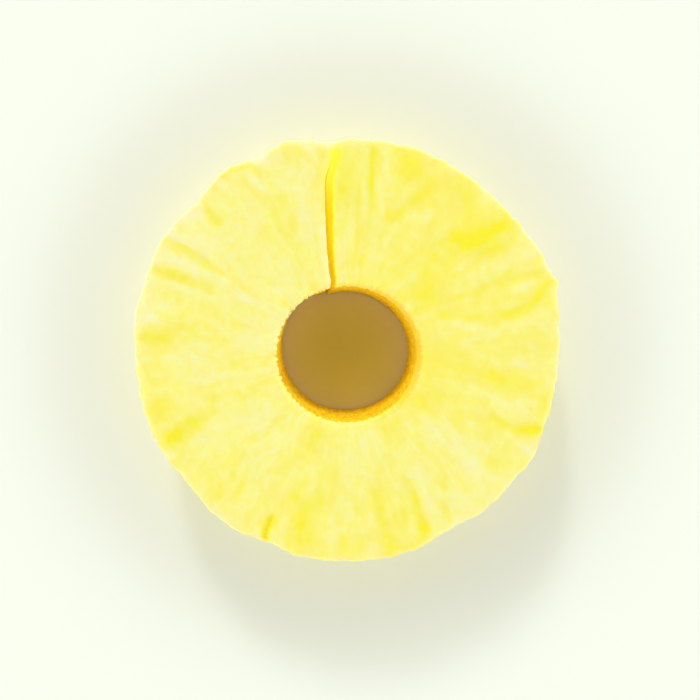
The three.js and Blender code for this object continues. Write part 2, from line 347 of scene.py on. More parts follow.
# %% The face's relief
FACE_WIDTH = OUTER_RADIUS - HOLE_TOP["radii"][0]
FACE_MIDDLE = (OUTER_RADIUS + HOLE_TOP["radii"][0]) / 2  # a radius
FIBRES = [[37, 0.4, 0.5], [59, 0.9, 0.3], [89, 0.1, 0.2]]
FINE_FIBRES = [[127, 0.3, 0.5], [173, 0.8, 0.3], [229, 0.5, 0.2]]
FIBRE_DEPTH = 0.05
FINE_FIBRE_DEPTH = 0.015
FINE_STRAY = 0.02  # radians by which the finest fibres swing aside
FINE_STRAY_LENGTH = (3.0, 4.0)  # along X and Y
PETAL_HEIGHT = 0.18
FACE_SAG = 0.25  # slow unevenness of the sawn face
FACE_SAG_LENGTH = (14.0, 17.0)


def face_relief(x, y):
    """How far the sawn face stands over a flat cut, all below zero: fibres, the petals that the
    fruitlets make, the slow sag, and the creases."""
    angle = np.arctan2(y, x)
    out = (np.hypot(x, y) - HOLE_TOP["radii"][0]) / FACE_WIDTH
    fibres = FIBRE_DEPTH * (waves(FIBRES, angle) - 1) / 2
    stray = FINE_STRAY * np.sin(x / FINE_STRAY_LENGTH[0]) * np.cos(y / FINE_STRAY_LENGTH[1])
    fine = FINE_FIBRE_DEPTH * (waves(FINE_FIBRES, angle + stray) - 1) / 2
    meeting = 0.5 + 0.5 * np.cos(FRUITLETS * (angle - math.radians(FRUITLET_START)))
    sag = np.sin(x / FACE_SAG_LENGTH[0]) * np.cos(y / FACE_SAG_LENGTH[1]) - 1
    creases = sum(crease_depth(crease, x, y) for crease in CREASES)
    return fibres + fine - PETAL_HEIGHT * smooth(out) * meeting + FACE_SAG * sag - creases


halfway = FACE_MIDDLE * np.exp(1j * turn)
lows = face_relief(halfway.real, halfway.imag)
print("half way out, the face lies between", lows.min().round(2), "and", lows.max().round(2), "mm")

# %% [markdown]
# ## One block bent round the hole
# The whole slice is one block of flesh bent into a ring: it runs around from the cut's left wall to its
# right wall, across from the hole to the rim, and up from the underside to the top. Cutting a slit
# into a finished ring would leave ragged triangles. A bent block has clean rows of faces that follow
# the fibres, and its two end faces are the walls of the cut.

# %% A point of the block
CUT_ANGLE = math.acos(lip_x(CUT_Y[1]) / CUT_Y[1])
LIP_INSET = LIP_ROUND * (1 - math.sqrt(0.5))  # the middle of a round edge, in from its corner
FOOT_INSET = FOOT_ROUND * (1 - math.sqrt(0.5))


def place_in_ring(around, across, height):
    """x, y, z of the block's points from their shares around, across and up. The radius is mixed
    between hole and rim, the angle is turned to lie in the cut's walls at both ends, and the top
    and underside curve away towards each wall by a quarter circle."""
    from_left = around * TURN
    from_right = TURN - from_left
    nominal = CUT_ANGLE + from_left
    depth = mix(THICKNESS, LIP_INSET, height)
    lift = mix(FOOT_INSET, THICKNESS, height)

    # The hole's and the rim's walls, drawn in where they turn into the faces and into the cut.
    near_cut = np.minimum(from_left, from_right)
    hole_corner = round_off(near_cut * HOLE_TOP["radii"][0], CUT_CORNER_ROUND["hole"])
    rim_corner = round_off(near_cut * OUTER_RADIUS, CUT_CORNER_ROUND["rim"])
    hole = hole_radius(nominal, height) + hole_corner
    rim = rim_radius(nominal, height) - rim_corner
    drawn_in = round_off(depth, LIP_ROUND) + round_off(lift, FOOT_ROUND)
    radius = mix(hole + drawn_in, rim - drawn_in, across)

    # The grid line round the ring, turned to lie in the cut's wall where it meets one.
    left_pull = 1 - smooth(from_left / CUT_REACH)
    right_pull = 1 - smooth(from_right / CUT_REACH)
    left_turn = left_pull * (np.arccos(left_wall_x(radius, height) / radius) - CUT_ANGLE)
    right_turn = right_pull * (np.arccos(right_wall_x(radius, height) / radius) - CUT_ANGLE)
    angle = nominal + left_turn + right_turn
    x = radius * np.cos(angle)
    y = radius * np.sin(angle)

    # The top face, dropped where it turns into a wall, and the underside, lifted there.
    width = rim - hole
    in_from_wall = np.minimum(across, 1 - across) * (width - 2 * LIP_INSET) + LIP_INSET
    beside_cut = (left_pull > 0) * left_drop(x, radius) + (right_pull > 0) * right_drop(x, radius)
    top = THICKNESS + face_relief(x, y) - round_off(in_from_wall, LIP_ROUND) - beside_cut
    foot = round_off(np.minimum(across, 1 - across) * width + FOOT_INSET, FOOT_ROUND)
    return np.stack([x, y, mix(foot, top, height)], axis=-1)


print("opposite the cut, the middle of the top is at", place_in_ring(0.5, 0.5, 1).round(2))

# %% Rows of the grid
def grid_shares(length, edge_steps, cells):
    """Shares from 0 to 1 of a length: small steps beside both ends, equal cells between."""
    steps = np.array(edge_steps)
    middle = np.linspace(steps[-1], length - steps[-1], cells + 1)
    places = np.concatenate([[0], steps[:-1], middle, length - steps[:-1][::-1], [length]])
    return places / length


# The first is measured in degrees, the others in millimetres.
around_rows = grid_shares(360, [0.1, 0.25, 0.5, 0.9, 1.4], 620)
across_rows = grid_shares(FACE_WIDTH, [0.12, 0.3, 0.6], 52)
up_rows = grid_shares(THICKNESS, [0.15, 0.35, 0.7, 1.3], 8)
grid_size = tuple(len(rows) for rows in (around_rows, across_rows, up_rows))
print("grid of", grid_size, "points around, across and up")

# %% [markdown]
# ## The closed skin
# Only the block's skin is wanted. Its points are numbered once each, so that the six sides share
# their edges and the skin is closed. Each side is then a sheet of four-cornered faces, read off that
# numbering in the order that makes it face outwards.

# %% The skin's points and faces
place = np.indices(grid_size)
last = np.array(grid_size).reshape(3, 1, 1, 1) - 1
on_skin = ((place == 0) | (place == last)).any(axis=0)
number = np.full(grid_size, -1)
number[on_skin] = np.arange(on_skin.sum())

around = around_rows[place[0][on_skin]]
across = across_rows[place[1][on_skin]]
height = up_rows[place[2][on_skin]]
points = place_in_ring(around, across, height)


def sheet_faces(numbers):
    """The four-cornered faces of a sheet of point numbers, one for each cell."""
    corners = [numbers[:-1, :-1], numbers[1:, :-1], numbers[1:, 1:], numbers[:-1, 1:]]
    return np.stack(corners, axis=-1).reshape(-1, 4)


faces = np.concatenate([
    sheet_faces(number[:, :, -1].T),  # top
    sheet_faces(number[:, :, 0]),  # underside
    sheet_faces(number[:, 0, :].T),  # hole
    sheet_faces(number[:, -1, :]),  # rim
    sheet_faces(number[0, :, :]),  # left wall of the cut
    sheet_faces(number[-1, :, :].T),  # right wall of the cut
])
print(len(points), "points,", len(faces), "faces,", 2 * len(faces), "triangles")

# %% Into the frame's box
# The finest teeth and fibres aren't in the plain solid, so the skin can be a hair wider than its box.
# It is centred in the box, and shrunk where it stands past it.
skin_middle = (points.min(axis=0) + points.max(axis=0)) / 2
frame_middle = (ring_low + ring_high) / 2
points[:, :2] += (frame_middle - skin_middle)[:2]
room = (ring_high - ring_low) / (points.max(axis=0) - points.min(axis=0))
points = (points - [*frame_middle[:2], 0]) * np.minimum(room, 1) + [*frame_middle[:2], 0]
print("scaled by", np.minimum(room, 1).round(4), "to stay in the frame's box")

# %% The mesh
ring_mesh = bpy.data.meshes.new("pineapple_flesh")
ring_mesh.from_pydata((points * MM).tolist(), [], faces.tolist())
ring_mesh.polygons.foreach_set("use_smooth", np.ones(len(faces), dtype=bool))
ring_mesh.update()
ring = bpy.data.objects.new("pineapple_flesh", ring_mesh)
bpy.context.scene.collection.objects.link(ring)
print("the flesh is", np.ptp(points, axis=0).round(2), "mm wide, long and thick")

# %% [markdown]
# ## Where the juice is
# Cut flesh isn't one yellow. Where cells are full of juice it is clear and deep yellow, and light
# sinks in. Where air sits between the fibres it is pale. Both kinds of place are marks on the top
# face, each a soft ellipse laid along the fibres. They could be painted by hand, but a short list of
# places and sizes is easier to change. Each point of the mesh stores how juicy and how pale it is.

# %% Marks on the face
# [x, y, half length, half width, degrees, strength], all sizes in millimetres.
JUICY = [
    [-41.5, 2.2, 4.5, 2.2, 176, 1.0],
    [-36.5, 5.0, 2.6, 1.2, 165, 0.6],
    [-35.9, 22.2, 3.0, 0.9, 152, 0.4],
    [-37.5, 16.2, 4.5, 1.1, 162, 0.5],
    [-20.5, 8.0, 2.5, 0.7, 155, 0.4],
    [-28.3, 28.2, 1.9, 0.8, 125, 0.45],
    [-13.8, 31.8, 1.8, 1.1, 95, 0.15],
    [-18.2, 24.0, 1.8, 1.2, 110, 0.15],
    [-0.6, 36.8, 6.5, 1.8, 90, 0.65],
    [13.2, 40.8, 4.2, 2.8, 95, 0.95],
    [17.0, 36.6, 3.5, 2.2, 110, 0.35],
    [10.8, 29.0, 3.2, 0.9, 52, 0.3],
    [24.5, 23.7, 3.2, 1.5, 176, 0.85],
    [30.2, 25.6, 3.6, 1.4, 35, 0.4],
    [35.8, 26.8, 3.4, 2.6, 60, 0.3],
    [31.5, 21.4, 4.0, 1.5, 15, 0.95],
    [16.8, 11.4, 4.5, 2.6, 40, 0.7],
    [28.4, 11.8, 1.2, 0.9, 20, 0.35],
    [3.0, 18.9, 1.2, 0.6, 90, 0.55],
    [2.4, 30.0, 7.0, 0.6, 88, 0.65],
    [27.5, 6.9, 4.2, 0.8, 178, 0.5],
    [20.0, 0.4, 2.8, 1.5, 0, 0.25],
    [16.8, -4.2, 2.2, 1.4, 350, 0.4],
    [16.0, -11.4, 2.4, 1.9, 325, 0.55],
    [18.6, -9.2, 1.8, 1.2, 330, 0.4],
    [31.2, -5.4, 3.4, 1.6, 350, 0.7],
    [35.5, -7.6, 5.5, 2.2, 352, 0.6],
    [42.5, -11.6, 1.2, 2.0, 345, 0.75],
    [40.0, -17.6, 2.8, 1.8, 350, 0.9],
    [32.2, -24.8, 2.0, 2.4, 300, 0.5],
    [38.2, -25.4, 1.2, 1.8, 320, 0.35],
    [14.7, -32.0, 2.6, 0.7, 295, 0.25],
    [16.9, -38.0, 2.2, 1.4, 290, 0.55],
    [12.5, -36.0, 2.0, 0.9, 280, 0.65],
    [11.5, -43.0, 3.0, 1.6, 350, 0.2],
    [-9.6, -35.6, 3.6, 2.0, 262, 0.75],
    [-11.2, -31.5, 2.0, 1.2, 250, 0.7],
    [-6.0, -33.5, 3.2, 1.6, 265, 0.35],
    [-10.5, -40.5, 3.2, 2.6, 260, 0.35],
    [-7.0, -18.2, 2.6, 1.7, 255, 0.45],
    [-23.4, -30.2, 2.2, 0.9, 55, 0.65],
    [-28.5, -31.2, 2.2, 1.4, 45, 0.35],
    [-24.8, -27.0, 1.8, 0.9, 100, 0.55],
    [-41.0, -13.0, 3.6, 2.4, 200, 1.0],
    [-34.8, -15.8, 3.2, 1.2, 30, 0.7],
    [-37.6, -19.2, 2.6, 1.8, 25, 0.8],
    [-40.9, -3.6, 1.6, 0.9, 175, 0.4],
    [-37.2, -24.4, 1.6, 0.9, 30, 0.45],
    [-32.0, -8.0, 6.0, 0.7, 190, 0.2],
    [8.6, -17.4, 2.4, 1.6, 300, 0.45],
    # wide and faint
    [22.0, 26.0, 26.0, 16.0, 50, 0.28],
    [12.0, 1.0, 12.0, 16.0, 0, 0.3],
    [-2.5, 24.0, 6.0, 2.5, 95, 0.25],
]
PALE = [
    [-27.4, 36.0, 1.6, 1.1, 130, 1.0],
    [-20.0, 40.6, 2.2, 1.3, 26, 1.0],
    [-32.6, 31.2, 2.6, 1.4, 46, 1.0],
    [-19.6, 36.0, 2.2, 0.7, 130, 1.0],
    [-32.8, 30.6, 2.0, 1.4, 130, 0.7],
    [-38.0, 25.0, 2.4, 1.3, 140, 0.45],
    [-43.2, 7.2, 2.0, 1.2, 175, 0.6],
    [-33.5, 18.0, 4.0, 0.9, 152, 0.5],
    [-22.5, 11.4, 4.2, 0.6, 148, 0.4],
    [8.6, 41.0, 3.4, 0.6, 85, 0.25],
    [7.4, 32.5, 4.0, 0.7, 95, 0.55],
    [4.0, 29.0, 7.5, 0.5, 90, 0.15],
    [9.8, 25.8, 3.6, 0.6, 55, 0.35],
    [19.8, 25.0, 2.6, 1.4, 60, 0.6],
    [30.5, 33.2, 2.6, 1.6, 45, 0.9],
    [24.4, 18.2, 4.4, 0.8, 35, 0.45],
    [13.6, 9.6, 2.4, 1.4, 40, 0.7],
    [17.0, 7.0, 2.6, 1.0, 25, 0.8],
    [38.2, 14.0, 2.2, 1.2, 25, 0.6],
    [35.8, 11.4, 1.6, 0.7, 60, 0.3],
    [27.0, 4.8, 4.0, 0.9, 172, 0.7],
    [35.4, 5.4, 4.5, 0.6, 8, 0.4],
    [38.2, -3.4, 3.2, 0.9, 350, 0.7],
    [35.0, -11.4, 5.0, 1.6, 345, 0.3],
    [38.0, -20.8, 4.5, 0.7, 320, 0.8],
    [18.4, -17.0, 4.5, 1.8, 315, 0.7],
    [5.4, -17.8, 2.4, 0.7, 290, 0.2],
    [27.0, -23.4, 5.0, 3.2, 315, 0.38],
    [8.6, -26.0, 3.4, 0.6, 292, 0.5],
    [16.4, -30.4, 5.0, 0.7, 290, 0.45],
    [-10.6, -15.6, 2.0, 0.6, 240, 0.45],
    [-16.6, -39.4, 2.0, 0.5, 262, 0.9],
    [-38.6, -23.2, 2.6, 1.0, 30, 0.6],
    [-6.2, 44.6, 3.2, 0.9, 5, 0.5],
    [-3.4, 44.8, 1.6, 1.0, 90, 0.8],
    [-12.3, 6.4, 4.0, 3.0, 150, 0.35],
    [-4.5, 20.5, 7.0, 2.5, 95, 0.1],
    [-27.0, -6.0, 8.0, 1.2, 190, 0.35],
    [1.0, -28.0, 8.0, 1.4, 270, 0.15],
    # wide and faint
    [-25.0, 20.0, 24.0, 20.0, 140, 0.45],
    [-26.0, -8.0, 14.0, 14.0, 190, 0.25],
    [16.0, -28.0, 14.0, 12.0, 300, 0.3],
]
# Thin lines of juice round the petals, too fine to be dips, in the same form as the creases.
OUTLINES = [
    [18.0, 27.4, 29.1, 14.3, -0.6, 0.06, 0.6],
    [24.1, 27.1, 38.6, 25.3, -1.0, 0.07, 0.6],
    [20.8, 148.0, 34.0, 148.4, 0.2, 0.07, 0.6],
    [28.5, 78.9, 43.4, 82.7, 0.2, 0.08, 0.6],
    [42.7, 281.2, 43.2, 293.3, -2.1, 0.08, 0.6],
]


def marks(rows, x, y):
    """How strong a list of marks is at points: for each the bell curve of the distance from its
    middle, with lengths along and across it measured in its own half sizes. They add up to 1 at most."""
    total = np.zeros_like(x)
    for middle_x, middle_y, half_length, half_width, degrees, strength in rows:
        turned = (x - middle_x + 1j * (y - middle_y)) * np.exp(-1j * math.radians(degrees))
        total += strength * bell(np.hypot(turned.real / half_length, turned.imag / half_width), 1)
    return np.minimum(total, 1)


print(len(JUICY), "juicy places,", len(PALE), "pale ones and", len(OUTLINES), "thin lines")

# %% Where each point of the skin lies
CUT_MARKS_FROM = 12.0  # just inside the hole; the cut leaves no mark on the face below this Y

x, y, z = points.T
angle = np.arctan2(y, x)
depth = ring_high[2] - z
from_hole = np.hypot(x, y) - hole_radius(angle, 1)
from_rim = rim_radius(angle, 1) - np.hypot(x, y)
from_lip = x - lip_x(y)  # below zero on the left of the cut
on_top = height == 1
by_cut = on_top & (y > CUT_MARKS_FROM)
print(on_top.sum(), "points on the top face,", by_cut.sum(), "of them on the cut's half")

# %% How juicy, pale and creased each point is
OUTER_SHADE_DEPTH = 3.0  # painted shade: the outer wall is darker and deeper yellow from this far down
OUTER_SHADE_IN_JUICE = 0.7
RIM_EDGE_PALE = 0.5  # the rim's thin edge is paler
RIM_EDGE_WIDTH = 1.4
CREASE_SPREAD = 1.5  # juice stands a little to each side of a dip
CREASE_FULL = 0.11  # the depth that counts as 1
CREASE_FULLEST = 2
CREASE_REACH = 4.0  # how far down the walls a crease's colour runs

# Painted shade: the outer wall, which faces the bright panels, is made darker and deeper yellow.
outer_wall = (across == 1) * smooth(depth / OUTER_SHADE_DEPTH)
pale_rim_edge = RIM_EDGE_PALE * bell(from_rim, RIM_EDGE_WIDTH)
juicy = np.maximum(marks(JUICY, x, y), OUTER_SHADE_IN_JUICE * outer_wall)
pale = np.minimum(marks(PALE, x, y) + pale_rim_edge, 1) * (1 - outer_wall)
lines = sum(crease_depth(row, x, y, CREASE_SPREAD) for row in CREASES)
lines += sum(crease_depth(row, x, y) for row in OUTLINES)
crease = np.minimum(lines / CREASE_FULL, CREASE_FULLEST) * (1 - smooth(depth / CREASE_REACH))
print("juicy over", (juicy > 0.3).mean().round(2), "of the points, pale over", (pale > 0.3).mean().round(2))

# %% [markdown]
# ## Painted gold in the deep places
# The wall of the hole, the walls of the cut and the bottom of the gash are golden, because the light
# that gets there has come through flesh. Light could be left to do it alone, but the walls of the cut
# all but touch, and in so thin a gap a renderer loses the light. So each point also stores how golden
# it is, and that gold is painted light and shade: painted bounce light in the cut and the gash, and
# painted shade that deepens down the wall of the hole. The hole's painted gold also runs over its lip
# onto the face beside it, most of all on the right. The cut is a deep gold at the hole, where it takes
# some of the hole's painted shade, and pale lemon near the rim, where it is shallow.

# %% Painted gold round the hole and in the gash
LIP_GOLD_MIDDLE = 0.22  # how strong the gold over the lip is on average
LIP_GOLD_SWING = 0.43  # and how much stronger it is on the right
LIP_GOLD_TURN = 0.15  # radians from +X to where it is strongest
LIP_GOLD_WIDTH = 1.0
LIP_GOLD_IN_JUICE = 1.3
HOLE_SHADE_FULL_DEPTH = 2.5  # how far down the hole's wall the painted shade is full
GASH_GOLD = 0.35

to_right = np.maximum(LIP_GOLD_MIDDLE + LIP_GOLD_SWING * np.cos(angle - LIP_GOLD_TURN), 0)
# The hole's painted gold, carried over its lip onto the face and strongest on the right.
gold_over_lip = to_right * bell(from_hole, LIP_GOLD_WIDTH) * (on_top | (across == 0))
# Painted shade: the hole's wall turns a deeper gold further down.
hole_wall_shade = (across == 0) * smooth(depth / HOLE_SHADE_FULL_DEPTH)
# Painted bounce light: the bottom of the gash is golden and deeper yellow.
in_gash = crease_depth(GASH, x, y) / GASH_DEPTH * on_top
# The painted gold over the lip and in the gash also deepens the juice share.
juicy = np.maximum.reduce([juicy, LIP_GOLD_IN_JUICE * gold_over_lip, in_gash])
print("the stain is up to", gold_over_lip.max().round(2), "and the gash's bottom is", in_gash.max().round(2))

# %% Painted gold in the cut
GOLD_WIDTH = (0.6, 1.75)  # how far it reaches over the sunk flesh, at the cut's start and end
GOLD_EDGE = 1.1  # the length over which it ends
GOLD_DEPTH = 0.8  # how far down the cut's walls it is full
DEEP_GOLD = 0.4  # how much of the hole's painted shade it has near the hole
DEEP_GOLD_Y = (31, 15)  # from none of it to all of it
SHALLOW_Y = (26, 42)  # where the cut becomes shallow
SHALLOW_LOSS = 0.55
FADE_Y = (42.5, 45)  # where its gold fades at the rim
FADE_LOSS = 0.8
CLOSED_WIDTH = 1.2  # how far from the cut the flesh counts as part of it, for the light

# Painted bounce light: gold over the sunk flesh beside the cut and down its walls, lemon where the cut is
# shallow.
on_right = (from_lip > 0) * (1 - smooth((from_lip - along_cut(GOLD_WIDTH, y)) / GOLD_EDGE))
on_left = (from_lip <= 0) * soft(y) * smooth(1 + from_lip / GOLD_EDGE)
gold = by_cut * (on_right + on_left)
cut_wall = ((around == 0) | (around == 1)) * smooth(depth / GOLD_DEPTH)
painted_cut_gold = np.maximum(gold, cut_wall) * (1 - SHALLOW_LOSS * step_between(y, SHALLOW_Y))
painted_cut_gold *= 1 - FADE_LOSS * step_between(y, FADE_Y)
# Painted shade: near the hole the cut takes some of the hole's gold.
deep_gold = DEEP_GOLD * gold * step_between(y, DEEP_GOLD_Y)
painted_gold_in_hole = np.maximum.reduce([hole_wall_shade, gold_over_lip, deep_gold, GASH_GOLD * in_gash**2])
closed = np.maximum(by_cut * bell(from_lip, CLOSED_WIDTH), cut_wall)
print("golden by the hole:", (painted_gold_in_hole > 0.3).sum(), "points, and by the cut:", (painted_cut_gold > 0.3).sum())

# %% The way along a fibre
# A point on a circle of radius 1, and a distance outwards and down a wall. The fibres stray a little.
STRAY = 0.04  # radians
STRAY_LENGTH = (7, 9)  # along X and Y
QUICK_STRAY = 0.02
QUICK_STRAY_LENGTH = 4

stray = STRAY * np.sin(x / STRAY_LENGTH[0] + 1) * np.cos(y / STRAY_LENGTH[1])
stray += QUICK_STRAY * np.sin((x + y) / QUICK_STRAY_LENGTH)
fibre_angle = angle + stray
fibre_length = (np.hypot(x, y) + depth) / OUTER_RADIUS
fibre_run = np.stack([np.cos(fibre_angle), np.sin(fibre_angle), fibre_length], axis=-1)
print("fibres stray by up to", np.degrees(np.abs(stray).max()).round(1), "degrees")

# %% What the mesh stores: one value, or one vector, for each point
OUTER_SHADE_TINT = 0.6  # how thickly the outer wall's painted shade lies

point_values = {
    "juicy": juicy,
    "pale": pale,
    "crease": crease,
    "painted_gold_in_hole": painted_gold_in_hole,
    "painted_cut_gold": painted_cut_gold,
    "closed": closed,
    "outer_wall": OUTER_SHADE_TINT * outer_wall,
    "fibre_run": fibre_run,
}
for name, values in point_values.items():
    kind, field = ("FLOAT_VECTOR", "vector") if values.ndim == 2 else ("FLOAT", "value")
    layer = ring_mesh.attributes.new(name, kind, "POINT")
    layer.data.foreach_set(field, values.astype(np.float32).ravel())
    print(name, "from", values.min().round(2), "to", values.max().round(2))

# %% [markdown]
# ## Colours and nodes
# Colours are chosen as they look on a screen, and the shader wants them linear, so one function turns
# the one into the other. A second adds a node with its settings and its links in a single call, which
# keeps a material as short as a recipe.

# %% Helpers for materials
def linear(hex_colour):
    """An sRGB hex colour as linear red, green, blue and alpha, by the sRGB curve's two pieces."""
    values = [int(hex_colour[i : i + 2], 16) / 255 for i in (1, 3, 5)]
    return [v / 12.92 if v <= 0.04045 else ((v + 0.055) / 1.055) ** 2.4 for v in values] + [1.0]


def add_node(tree, kind, inputs, output=0, **settings):
    """Adds a node and gives back one of its outputs. Each input is a plain value, or another
    node's output to link from."""
    node = tree.nodes.new(kind)
    for name, value in settings.items():
        setattr(node, name, value)
    for name, value in inputs.items():
        if isinstance(value, bpy.types.NodeSocket):
            tree.links.new(value, node.inputs[name])
        else:
            node.inputs[name].default_value = value
    return node.outputs[output] if node.outputs else None


def empty_tree(owner):
    """The node tree of a new material or world, with nothing in it."""
    owner.use_nodes = True
    owner.node_tree.nodes.clear()
    return owner.node_tree


print("a grey that is half as bright on a screen is", round(linear("#808080")[0], 2), "in linear light")

# %% [markdown]
# ## Wet flesh
# Fresh pineapple is clear, juicy cells held in a net of pale fibres, cut with a blade and wet all
# over. Light goes a little way in before it comes out again: blue is soaked up almost at once, so
# thin lips and deep walls turn golden. That is subsurface scattering, with a short way for blue. One
# number, the paleness, says how much air is among the fibres: the stored marks and some noise that is
# stretched along the fibres add up to it. It picks the colour, from deep juice to pale fibre.

# %% The colours of the flesh
JUICE = "#FDEE42"
FLESH = "#FDF28E"
FIBRE = "#FFFBD0"
OUTER_WALL_SHADE = "#E0C448"  # painted shade on the outer wall, laid thinly over the rest
# The hole's two golds are painted shade and bounce light, deepest down the hole; the cut's gold and lemon
# are painted bounce light.
PAINTED_HOLE_GOLD = "#D89E00"
PAINTED_HOLE_BRIGHT = "#F8D010"  # where the cells of the hole's wall are full
PAINTED_CUT_GOLD = "#FFDC0C"
PAINTED_CUT_LEMON = "#FFFA48"  # where the cut is shallow

# %% The flesh
flesh = bpy.data.materials.new("wet_pineapple_flesh")
tree = empty_tree(flesh)
stored = {
    name: add_node(tree, "ShaderNodeAttribute", {}, "Fac", attribute_name=name)
    for name in ("juicy", "pale", "crease", "painted_gold_in_hole", "painted_cut_gold", "closed", "outer_wall")
}
fibre_vector = add_node(tree, "ShaderNodeAttribute", {}, "Vector", attribute_name="fibre_run")
flesh_place = add_node(tree, "ShaderNodeTexCoord", {}, "Object")
print("the flesh reads", *stored, "and the fibre's run")

# %% Noise stretched along the fibres
# The stored run is a circle of radius 1 in X and Y, with the distance along the fibre in Z. It is
# stretched so that the noise's spots are as wide and long as the fibres, at the middle of the face.
FIBRE_SIZE = (0.8, 6.0)  # mm wide and long; drawn a little coarse, so that it shows
BUNDLE_SIZE = (4.0, 18.0)  # bundles of fibres

noises = []
for (width, length), detail in [(FIBRE_SIZE, 3.0), (BUNDLE_SIZE, 2.0)]:
    stretch = (FACE_MIDDLE / width / 2, FACE_MIDDLE / width / 2, OUTER_RADIUS / length)
    run = add_node(tree, "ShaderNodeVectorMath", {0: fibre_vector, 1: stretch}, operation="MULTIPLY")
    noises.append(add_node(tree, "ShaderNodeTexNoise", {"Vector": run, "Scale": 1.0, "Detail": detail}))
    print("fibres", width, "by", length, "mm stretch the noise by", np.round(stretch, 1))

# %% Noise of juice cells
CELL_SIZE = 2.0  # mm, clusters of juice cells
GRAIN_SIZE = 0.8  # torn cells at the hole's edge

for size, detail in [(CELL_SIZE, 3.0), (GRAIN_SIZE, 2.0)]:
    spots = {"Vector": flesh_place, "Scale": 1 / (size * MM), "Detail": detail}
    noises.append(add_node(tree, "ShaderNodeTexNoise", spots))
fine, broad, cells, grain = noises
print("clusters of cells are", CELL_SIZE, "mm wide, and torn grains", GRAIN_SIZE, "mm")

# %% How pale the flesh is: 0 is deep juice, 0.5 is plain flesh, and 1 is all fibre
# Each noise is 0.5 on average, so half of the shares of noise is taken off at the start.
NOISES = [(broad, 0.65), (fine, 0.42), (cells, 0.58)]
STORED = [(stored["pale"], 0.34), (stored["juicy"], -0.41), (stored["crease"], -0.32)]

paleness = 0.5 - sum(share for noise, share in NOISES) / 2
print("paleness starts from", round(paleness, 3))
for value, share in NOISES + STORED:
    addition = {0: value, 1: share, 2: paleness}
    paleness = add_node(tree, "ShaderNodeMath", addition, operation="MULTIPLY_ADD")
over_juice = add_node(tree, "ShaderNodeMath", {0: paleness, 1: 2.0}, operation="MULTIPLY")
over_flesh = add_node(tree, "ShaderNodeMath", {0: paleness, 1: 2.0, 2: -1.0}, operation="MULTIPLY_ADD")

# %% The hole's painted gold ends in torn grains
# The grain is added to the stored share before both are cut off, so that only the edge is grainy.
# A Mix node in its colour mode takes the two colours at inputs 6 and 7 and gives the result at 2.
GRAIN_SHARE = 0.9
HOLE_EDGE = {"From Min": 0.6, "From Max": 1.3}  # the sum at which the gold starts and is full
FULL_CELLS = {"From Min": 0.35, "From Max": 0.65}
COLOUR_A, COLOUR_B, MIXED = 6, 7, 2

added = {0: grain, 1: GRAIN_SHARE, 2: stored["painted_gold_in_hole"]}
grainy = add_node(tree, "ShaderNodeMath", added, operation="MULTIPLY_ADD")
hole_share = add_node(tree, "ShaderNodeMapRange", {"Value": grainy, **HOLE_EDGE})
full = add_node(tree, "ShaderNodeMapRange", {"Value": grain, **FULL_CELLS})
wall_cells = {"Factor": full, COLOUR_A: linear(PAINTED_HOLE_GOLD), COLOUR_B: linear(PAINTED_HOLE_BRIGHT)}
painted_hole_colour = add_node(tree, "ShaderNodeMix", wall_cells, MIXED, data_type="RGBA")

# %% The cut's painted gold is lemon where its share is below a half
LEMON_FULL = 0.45
GOLD_FULL = 0.9

lemon = {"Value": stored["painted_cut_gold"], "From Max": LEMON_FULL}
lemon_share = add_node(tree, "ShaderNodeMapRange", lemon)
golden = {"Value": stored["painted_cut_gold"], "From Min": LEMON_FULL, "From Max": GOLD_FULL}
gold_share = add_node(tree, "ShaderNodeMapRange", golden)

# %% Colours laid over each other, each by its share
colour = linear(JUICE)
for share, over in [
    (over_juice, linear(FLESH)),
    (over_flesh, linear(FIBRE)),
    (stored["outer_wall"], linear(OUTER_WALL_SHADE)),
    (lemon_share, linear(PAINTED_CUT_LEMON)),
    (gold_share, linear(PAINTED_CUT_GOLD)),
    (hole_share, painted_hole_colour),
]:
    layers = {"Factor": share, COLOUR_A: colour, COLOUR_B: over}
    colour = add_node(tree, "ShaderNodeMix", layers, MIXED, data_type="RGBA")
print(len(tree.nodes), "nodes make the colour")

# %% Relief and gloss
# The corer tears the cells, so the hole's wall is rougher than the sawn face.
RELIEF_HEIGHT = 0.09  # mm
RELIEF_STRENGTH = 0.5
RELIEF_OF_CELLS = 0.45  # the rest is the fibres'
TORN_RELIEF = 5.0  # how much is added in the hole
WET_ROUGHNESS = {"From Min": 0.3, "From Max": 0.7, "To Min": 0.32, "To Max": 0.5}
TORN_ROUGHNESS = 0.85

uneven = add_node(tree, "ShaderNodeMix", {"Factor": RELIEF_OF_CELLS, "A": fine, "B": cells})
torn = {0: stored["painted_gold_in_hole"], 1: TORN_RELIEF, 2: 1.0}
rougher = add_node(tree, "ShaderNodeMath", torn, operation="MULTIPLY_ADD")
relief = add_node(tree, "ShaderNodeMath", {0: uneven, 1: rougher}, operation="MULTIPLY")
dents = {"Height": relief, "Strength": RELIEF_STRENGTH, "Distance": RELIEF_HEIGHT * MM}
bump = add_node(tree, "ShaderNodeBump", dents)
sawn = add_node(tree, "ShaderNodeMapRange", {"Value": cells, **WET_ROUGHNESS})
gloss = {"Factor": stored["painted_gold_in_hole"], "A": sawn, "B": TORN_ROUGHNESS}
roughness = add_node(tree, "ShaderNodeMix", gloss)
print("relief of", RELIEF_HEIGHT, "mm, and", 1 + TORN_RELIEF, "times as high in the hole")

# %% How far light goes in
# Between the walls of a real cut, which all but touch, no light is lost. Here it would be, so the
# scattering fades out beside the cut.
LIGHT_REACH = 0.9  # mm, for red
REACH_SHARES = (1.0, 0.65, 0.06)  # red, green and blue

